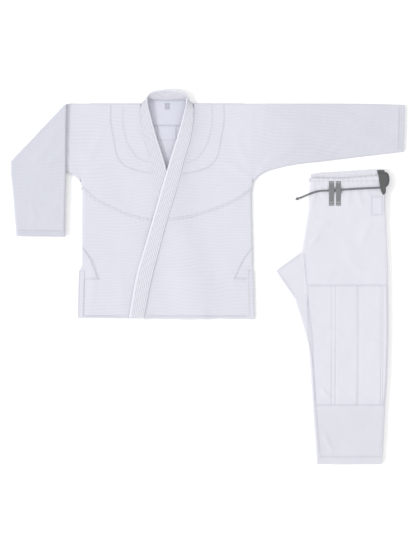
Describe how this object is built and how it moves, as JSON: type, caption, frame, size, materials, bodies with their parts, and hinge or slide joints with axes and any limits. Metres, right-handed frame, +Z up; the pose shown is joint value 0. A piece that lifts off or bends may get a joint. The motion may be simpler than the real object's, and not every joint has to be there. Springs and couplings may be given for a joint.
{
  "type": "martial arts uniform",
  "caption": "Jiu-jitsu uniform laid flat: wrap jacket with stiff collar, one sleeve folded, and folded drawstring trousers, with folding sleeves, front and legs.",
  "frame": {"origin": "centre of the laid-out set's outline, on the surface it lies on", "axes": "+X towards the extended sleeve's cuff, +Y towards the collar and the waistband, +Z up from the surface"},
  "size_m": [1.3368, 1.27, 0.032],
  "materials": {
    "pearl_weave": "matte bleached cotton pearl weave",
    "lining": "matte cotton twill",
    "blank_label": "satin woven label, blank",
    "collar_cover": "matte ripstop cotton, close rows of stitching",
    "collar_core": "matte foam strip",
    "trouser_canvas": "matte cotton drill",
    "trim_webbing": "matte woven tape",
    "drawstring_braid": "soft braided cord"
  },
  "bodies": {
    "jacket": {"back_panel": "pearl_weave", "right_front_panel": "pearl_weave", "left_front_panel": "pearl_weave", "right_side_seam": "pearl_weave", "left_side_seam": "pearl_weave", "right_shoulder_seam": "pearl_weave", "left_shoulder_seam": "pearl_weave", "right_armpit_gusset": "pearl_weave", "left_armpit_gusset": "pearl_weave", "right_chest_overlay": "pearl_weave", "left_chest_overlay": "pearl_weave", "right_slit_reinforcement": "pearl_weave", "left_slit_reinforcement": "pearl_weave", "right_upper_sleeve": "pearl_weave", "left_upper_sleeve": "pearl_weave", "yoke_lining": "lining", "inner_back_patch": "lining", "right_shoulder_lining": "lining", "left_shoulder_lining": "lining", "neck_label": "blank_label", "right_lapel": "collar_cover", "back_collar": "collar_cover", "right_lapel_core": "collar_core", "back_collar_core": "collar_core"},
    "right_forearm": {"right_forearm": "pearl_weave", "right_cuff_facing": "lining"},
    "left_forearm": {"left_forearm": "pearl_weave", "left_cuff_facing": "lining"},
    "left_front_flap": {"left_front_flap": "pearl_weave", "left_lapel": "collar_cover", "left_lapel_core": "collar_core", "flap_chest_overlay": "pearl_weave"},
    "trousers": {"hips": "trouser_canvas", "right_thigh": "trouser_canvas", "left_thigh": "trouser_canvas", "right_crotch_gusset": "trouser_canvas", "left_crotch_gusset": "trouser_canvas", "right_knee_patch_upper": "trouser_canvas", "left_knee_patch_upper": "trouser_canvas", "left_front_waistband": "trouser_canvas", "right_front_waistband": "trouser_canvas", "left_back_waistband": "trouser_canvas", "right_back_waistband": "trouser_canvas", "left_side_patch": "trouser_canvas", "right_side_patch": "trouser_canvas", "left_outer_belt_loop": "trim_webbing", "right_outer_belt_loop": "trim_webbing", "left_inner_belt_loop": "trim_webbing", "right_inner_belt_loop": "trim_webbing", "left_side_belt_loop": "trim_webbing", "right_side_belt_loop": "trim_webbing", "drawstring": "drawstring_braid", "drawstring_knot": "drawstring_braid", "drawstring_in_left_channel": "drawstring_braid", "drawstring_in_right_channel": "drawstring_braid"},
    "lower_legs": {"right_lower_leg": "trouser_canvas", "left_lower_leg": "trouser_canvas", "right_knee_patch_lower": "trouser_canvas", "left_knee_patch_lower": "trouser_canvas"}
  },
  "joints": [
    {"name": "right_sleeve_fold", "type": "hinge", "parent": "jacket", "child": "right_forearm", "pos_m": [-0.57461, 0.489, 0.0112], "axis": [-0.6886, -0.7252, 0], "range_deg": [0, 179]},
    {"name": "left_sleeve_fold", "type": "hinge", "parent": "jacket", "child": "left_forearm", "pos_m": [0.40839, 0.491, 0.0112], "axis": [0, -1, 0], "range_deg": [0, 179]},
    {"name": "left_front_opening", "type": "hinge", "parent": "jacket", "child": "left_front_flap", "pos_m": [-0.02461, 0.216, 0.0186], "axis": [-0.0638, 0.998, 0], "range_deg": [0, 179]},
    {"name": "trousers_lift", "type": "slide", "parent": "jacket", "child": "trousers", "axis": [0, 0, 1], "range_m": [0, 0.3]},
    {"name": "trousers_knee_fold", "type": "hinge", "parent": "trousers", "child": "lower_legs", "pos_m": [0.47839, -0.232, 0.0184], "axis": [-1, 0, 0], "range_deg": [0, 179]}
  ]
}
